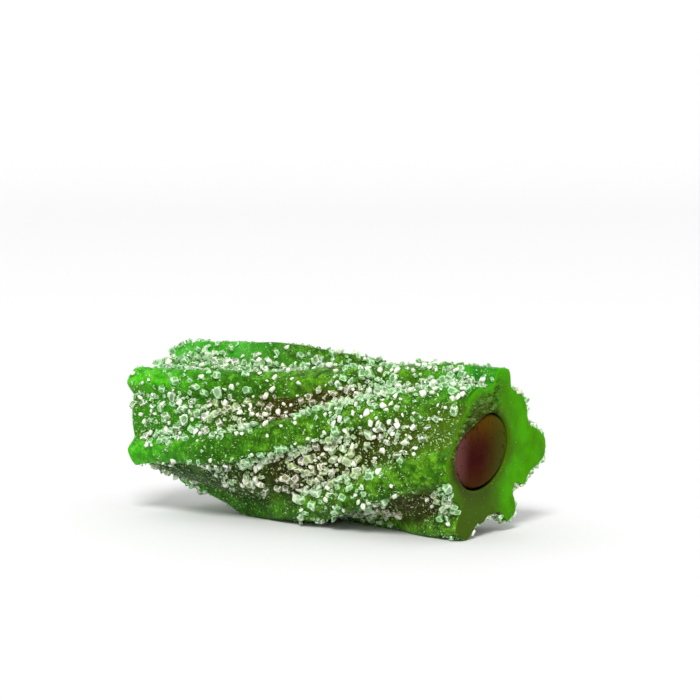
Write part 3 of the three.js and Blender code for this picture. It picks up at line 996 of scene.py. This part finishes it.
def cut_gel():
    """The same gel where a knife went through: waxy and nearly smooth, olive round the dark filling, with
    fine drag marks and sugar dust beside the bore. Painted into its colour are backlight towards the far
    rim, light on its top edge and shade low on its near side and in the crevice round the filling."""
    finish, tree = new_finish("cut_starch_gel")
    values = measured(tree, ("inward",), {"cloud": (1.6, 3.0, 0.55), "specks": (0.15, 2.0, 0.5)})
    drag = add_node(
        tree,
        "ShaderNodeMapping",
        {"Vector": values["place"], "Rotation": (math.radians(-55), 0, 0), "Scale": (1, 0.45, 1)},
    )
    scratches = {"Vector": drag.outputs["Vector"], "Scale": per_metre(0.3), "Detail": 5.0, "Roughness": 0.7}
    values["scratches"] = add_node(tree, "ShaderNodeTexNoise", scratches).outputs["Fac"]
    near_side = painted(tree, values, "#44740a", ("#323a12", ("inward", 0.0, 0.75)))
    # Painted backlight: the cut is brighter green towards its far side
    far_side = painted(
        tree, values, "#3c7c00", ("#429400", ("cloud", 0.35, 0.65)), ("#3d5a04", ("inward", 0.66, 1.05))
    )
    # Painted light on the top of the cut, brightest at its outer edge
    painted_rim_light = painted(tree, values, "#3c9202", ("#3a6404", ("inward", 0.0, 0.55)))
    gel = painted(
        tree, values, near_side,
        (far_side, ("across", -2.0 * MM, 1.0 * MM)),
        # Painted shade: darker low down on the near side of the cut
        ("#3c550e", ("height", 6.5 * MM, 1.5 * MM), ("across", 2.0 * MM, -0.5 * MM)),
        (painted_rim_light, ("height", 9.5 * MM, 14.5 * MM)),
    )
    scraped = painted(
        tree, values, gel, ("#64803e", ("scratches", 0.52, 0.64)), ("#1c2c08", ("scratches", 0.49, 0.4))
    )
    beside_bore = [
        ("height", 6.0 * MM, 8.5 * MM),
        ("inward", 0.0, 0.4),
        ("across", 0.8 * MM, -1.0 * MM),
        ("cloud", 0.2, 0.45),
    ]
    colour = painted(
        tree, values, gel,
        (scraped, *beside_bore),
        ("#86a860", ("specks", 0.69, 0.74)),
        # Painted shade: the wall of the bore, seen in the crevice round the filling, is nearly black
        ("#0c0f02", ("inward", 1.02, 1.3)),
    )
    look = {
        "Base Color": colour,
        "Roughness": 0.4,
        "Specular IOR Level": 0.02,
        "Subsurface Weight": 0.3,
        **GEL_LIGHT,
    }
    add_shader(tree, look, values["scratches"], strength=0.35, depth=0.03)
    return finish


def red_jelly():
    """Fruit jelly, poured and set: nearly black red with a satin skin. Painted into its colour are olive
    light from the green gel on its far side and a violet reflection on its near side."""
    finish, tree = new_finish("dark_red_jelly")
    grains = {"cloud": (1.4, 3.0, 0.55), "bubbles": (0.3, 2.0, 0.5), "skin": (0.35, 3.0, 0.55)}
    values = measured(tree, (), grains)
    colour = painted(
        tree, values, "#2e0504",
        ("#3a0e04", ("cloud", 0.3, 0.7)),
        ("#543c00", ("height", 7.6 * MM, 11.4 * MM)),
        ("#402600", ("height", 6.8 * MM, 3.2 * MM)),
        # Painted light: olive on the far side, where green light comes through the gel
        ("#394400", ("across", -2.8 * MM, 1.9 * MM)),
        # Painted reflection: violet on the near side
        ("#5e3834", ("across", -3.8 * MM, -6.0 * MM)),
        ("#1e0806", ("bubbles", 0.63, 0.7)),
    )
    look = {
        "Base Color": colour,
        "Roughness": 0.35,
        "IOR": 1.45,
        "Specular IOR Level": 0.015,
        "Subsurface Weight": 0.1,
        "Subsurface Radius": (1.0, 0.35, 0.2),
        "Subsurface Scale": 0.6 * MM,
    }
    add_shader(tree, look, values["skin"], strength=0.2, depth=0.02)
    return finish


def sugar_finish(name, over_green, over_brown, frosted, clearness, roughness):
    """Sucrose, crystallised and tumbled: its sides are clear or milky, with the colour seen through them
    from below painted in, mint over the gel and cream where the filling shows, and its worn edges are
    frosted nearly white."""
    finish, tree = new_finish(name)
    values = {
        mark: add_node(tree, "ShaderNodeAttribute", attribute_name=mark).outputs["Fac"]
        for mark in ("brown", "pale", "frost")
    }
    # Painted light: the tint is the colour seen through each crystal, mint over the gel and cream where the
    # filling shows; the pale and frosted coats are the sugar's own
    tint = painted(
        tree, values, over_green, (over_brown, "brown"), (frosted, ("pale", 0.4, 1.1)), (frosted, "frost")
    )
    clear = add_node(
        tree,
        "ShaderNodeMapRange",
        {"Value": values["frost"], "To Min": clearness, "To Max": FROST_CLEARNESS * clearness},
    )
    look = {
        "Base Color": tint,
        "Roughness": roughness,
        "IOR": 1.54,
        "Transmission Weight": clear.outputs["Result"],
        "Sheen Weight": 0.3,
        "Sheen Roughness": 0.4,
    }
    add_shader(tree, look)
    return finish


def make_stage():
    """A white floor that curves up far away on every side, so that no horizon shows."""
    finish, tree = new_finish("white_floor_paper")
    place_at = add_node(tree, "ShaderNodeTexCoord").outputs["Object"]
    flecks = {"Vector": place_at, "Scale": per_metre(0.5), "Detail": 3.0, "Roughness": 0.55}
    values = {"flecks": add_node(tree, "ShaderNodeTexNoise", flecks).outputs["Fac"]}
    paper = painted(tree, values, "#dbdbdb", ("#dfdfdf", "flecks"))
    add_shader(tree, {"Base Color": paper, "Roughness": 0.75})
    sides = 96
    turn = np.linspace(0, 2 * math.pi, sides, endpoint=False)
    flat, bend = 700.0, 500.0
    profile = [(r, 0.0) for r in (2.0, 40.0, 120.0, 300.0, flat)]
    profile += [(flat + bend * math.sin(a), bend * (1 - math.cos(a))) for a in np.linspace(0.1, 1.3, 14)]
    points = np.concatenate(
        [np.stack([r * np.cos(turn), r * np.sin(turn), np.full(sides, z)], -1) for r, z in profile]
    )
    floor = add_mesh("floor", points, ring_faces(len(profile), sides, closed=False))
    fill_holes(floor, reach=10.0)
    floor.data.materials.append(finish)


def add_softbox(name, place_at, aim, width, power):
    light = bpy.data.lights.new(name, "AREA")
    light.shape = "RECTANGLE"
    light.size = light.size_y = width * MM
    light.energy = power
    lamp = bpy.data.objects.new(name, light)
    lamp.location = Vector(place_at) * MM
    lamp.rotation_euler = (Vector(aim) * MM - lamp.location).to_track_quat("-Z", "Y").to_euler()
    bpy.context.scene.collection.objects.link(lamp)


def make_light():
    """White light from all round, as in a light tent, and a soft box in front, above the camera."""
    world = bpy.data.worlds.new("light_tent")
    world.use_nodes = True
    background = world.node_tree.nodes["Background"]
    background.inputs["Color"].default_value = (1.0, 1.0, 1.0, 1.0)
    background.inputs["Strength"].default_value = 0.84
    bpy.context.scene.world = world
    add_softbox("front_softbox", place_at=(1150, -2550, 2920), aim=(0, 0, 8), width=1200, power=138.0)


# The camera: its direction from the twist, how large the twist shows and where a point over the floor lands
VIEW_AZIMUTH, VIEW_ELEVATION = 30.0, 7.5
VIEW_DISTANCE = 220.0
PIXELS_PER_MM = 11.2
FRAME_PIXELS = 700
ANCHOR_HEIGHT = 7.35
ANCHOR_PIXEL = (332.0, 438.5)
SENSOR = 36.0


def make_camera():
    azimuth, elevation = math.radians(VIEW_AZIMUTH), math.radians(VIEW_ELEVATION)
    flat = math.cos(elevation)
    back = Vector((math.sin(azimuth) * flat, -math.cos(azimuth) * flat, math.sin(elevation)))
    right = Vector((math.cos(azimuth), math.sin(azimuth), 0))
    up = back.cross(right)
    anchor = Vector((SHIFT[0], SHIFT[1], ANCHOR_HEIGHT))
    across = (ANCHOR_PIXEL[0] - FRAME_PIXELS / 2) / PIXELS_PER_MM
    down = (ANCHOR_PIXEL[1] - FRAME_PIXELS / 2) / PIXELS_PER_MM
    eye = anchor + back * VIEW_DISTANCE
    aim = anchor - right * across + up * down
    data = bpy.data.cameras.new("camera")
    data.sensor_width = SENSOR
    data.lens = PIXELS_PER_MM * (aim - eye).length * SENSOR / FRAME_PIXELS
    data.clip_start, data.clip_end = 0.005, 10
    camera = bpy.data.objects.new("camera", data)
    camera.location = eye * MM
    camera.rotation_euler = (aim - eye).to_track_quat("-Z", "Y").to_euler()
    bpy.context.scene.collection.objects.link(camera)
    bpy.context.scene.camera = camera


make_camera()
make_light()
make_stage()

shell = make_shell()
shell.data.materials.append(green_gel())
shell.data.materials.append(cut_gel())
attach(shell, "root")
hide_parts("licorice_shell")

filling = make_filling()
filling.data.materials.append(red_jelly())
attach(filling, "root")
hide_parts("jelly_filling")

# Each sugar: its painted colour seen through it over the gel and over the filling, its frost, how clear it
# is and how rough
clear_sugar = sugar_finish("clear_sugar", "#aee496", "#d0d08c", "#fdfdf0", 0.84, 0.08)
milky_sugar = sugar_finish("milky_sugar", "#7ccc70", "#c8ca7c", "#d6f2c8", 0.6, 0.15)
white_sugar = sugar_finish("white_sugar", "#dcecc8", "#e6e0c2", "#f8f8ee", 0.25, 0.25)
sugar_dust = sugar_finish("sugar_dust", "#78a858", "#88884c", "#a4cc84", 0.3, 0.3)
sugar_finishes = {
    "sugar_coarse": milky_sugar,
    "sugar_milky": milky_sugar,
    "sugar_clear": clear_sugar,
    "sugar_piled": milky_sugar,
    "sugar_white": white_sugar,
    "sugar_fine": sugar_dust,
}
for crystals in make_sugar():
    crystals.data.materials.append(sugar_finishes[crystals.name])
    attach(crystals, "root")

bpy.context.scene.view_settings.view_transform = "Standard"
